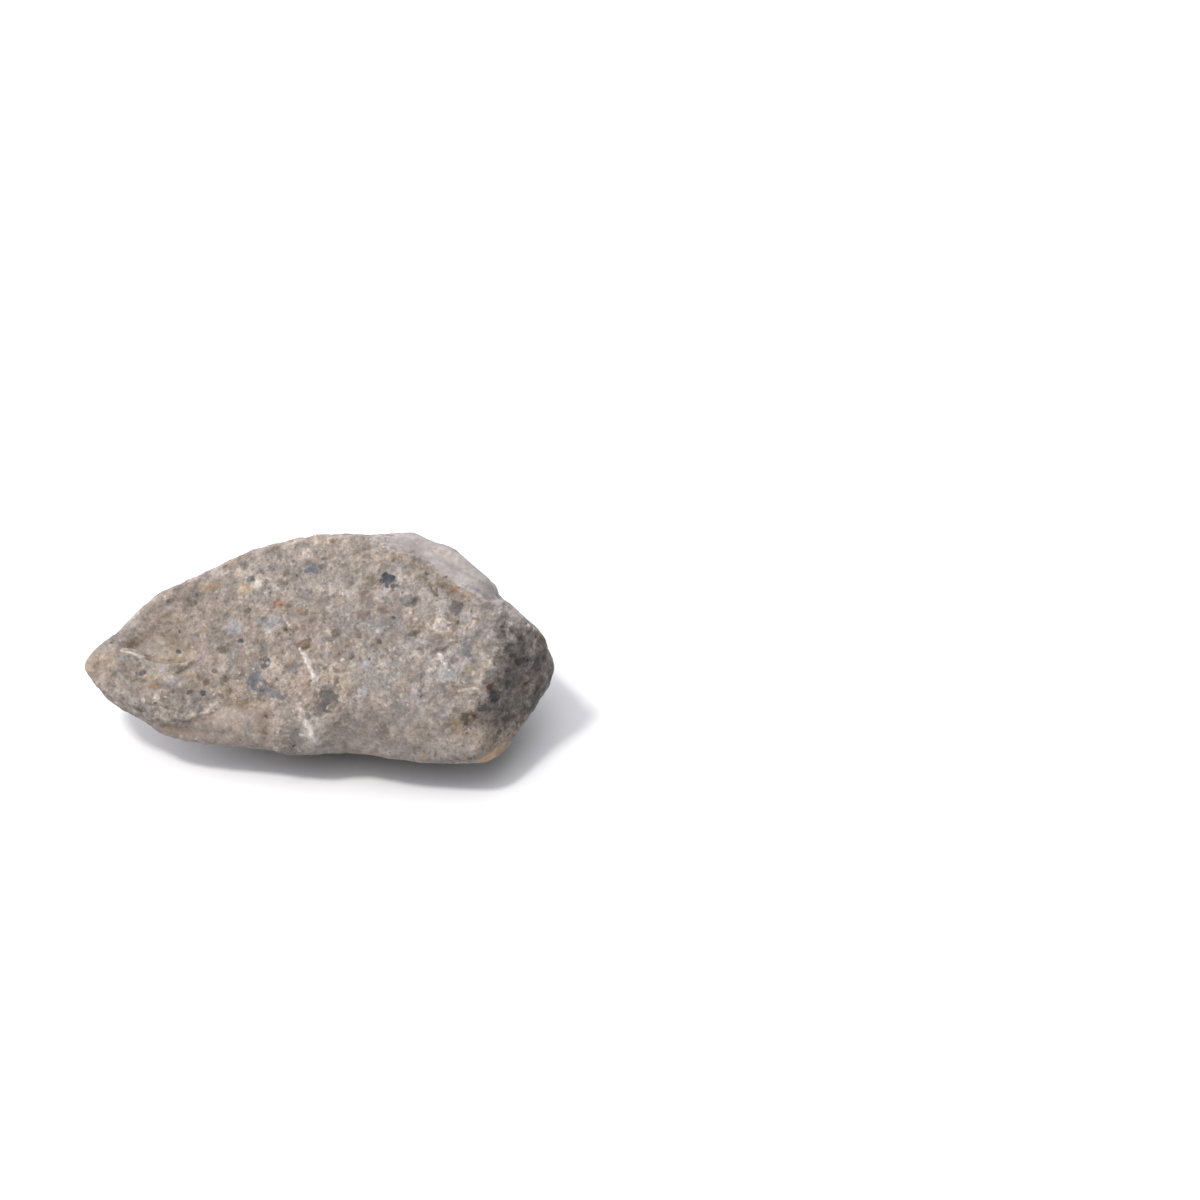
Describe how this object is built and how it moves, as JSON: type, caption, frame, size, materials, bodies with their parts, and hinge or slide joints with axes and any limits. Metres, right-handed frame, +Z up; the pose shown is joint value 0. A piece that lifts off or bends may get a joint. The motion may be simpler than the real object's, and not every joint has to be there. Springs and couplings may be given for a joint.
{
  "type": "lunar meteorite",
  "caption": "Small natural breccia stone, a blunt wedge with rounded edges, a large sloping front face and a flat spot underneath.",
  "frame": {"origin": "on the surface that the stone rests on, under the middle of its bounding box", "axes": "+X along the stone towards its thick dark end, -Y out of its large sloping front face, +Z up"},
  "size_m": [0.012, 0.0064, 0.005],
  "materials": {
    "breccia": "dull, slightly rubbed, with pale, rusty, olive and near-black clasts in a grey-beige matrix"
  },
  "bodies": {
    "root": {"lunar_meteorite": "breccia"}
  },
  "joints": []
}
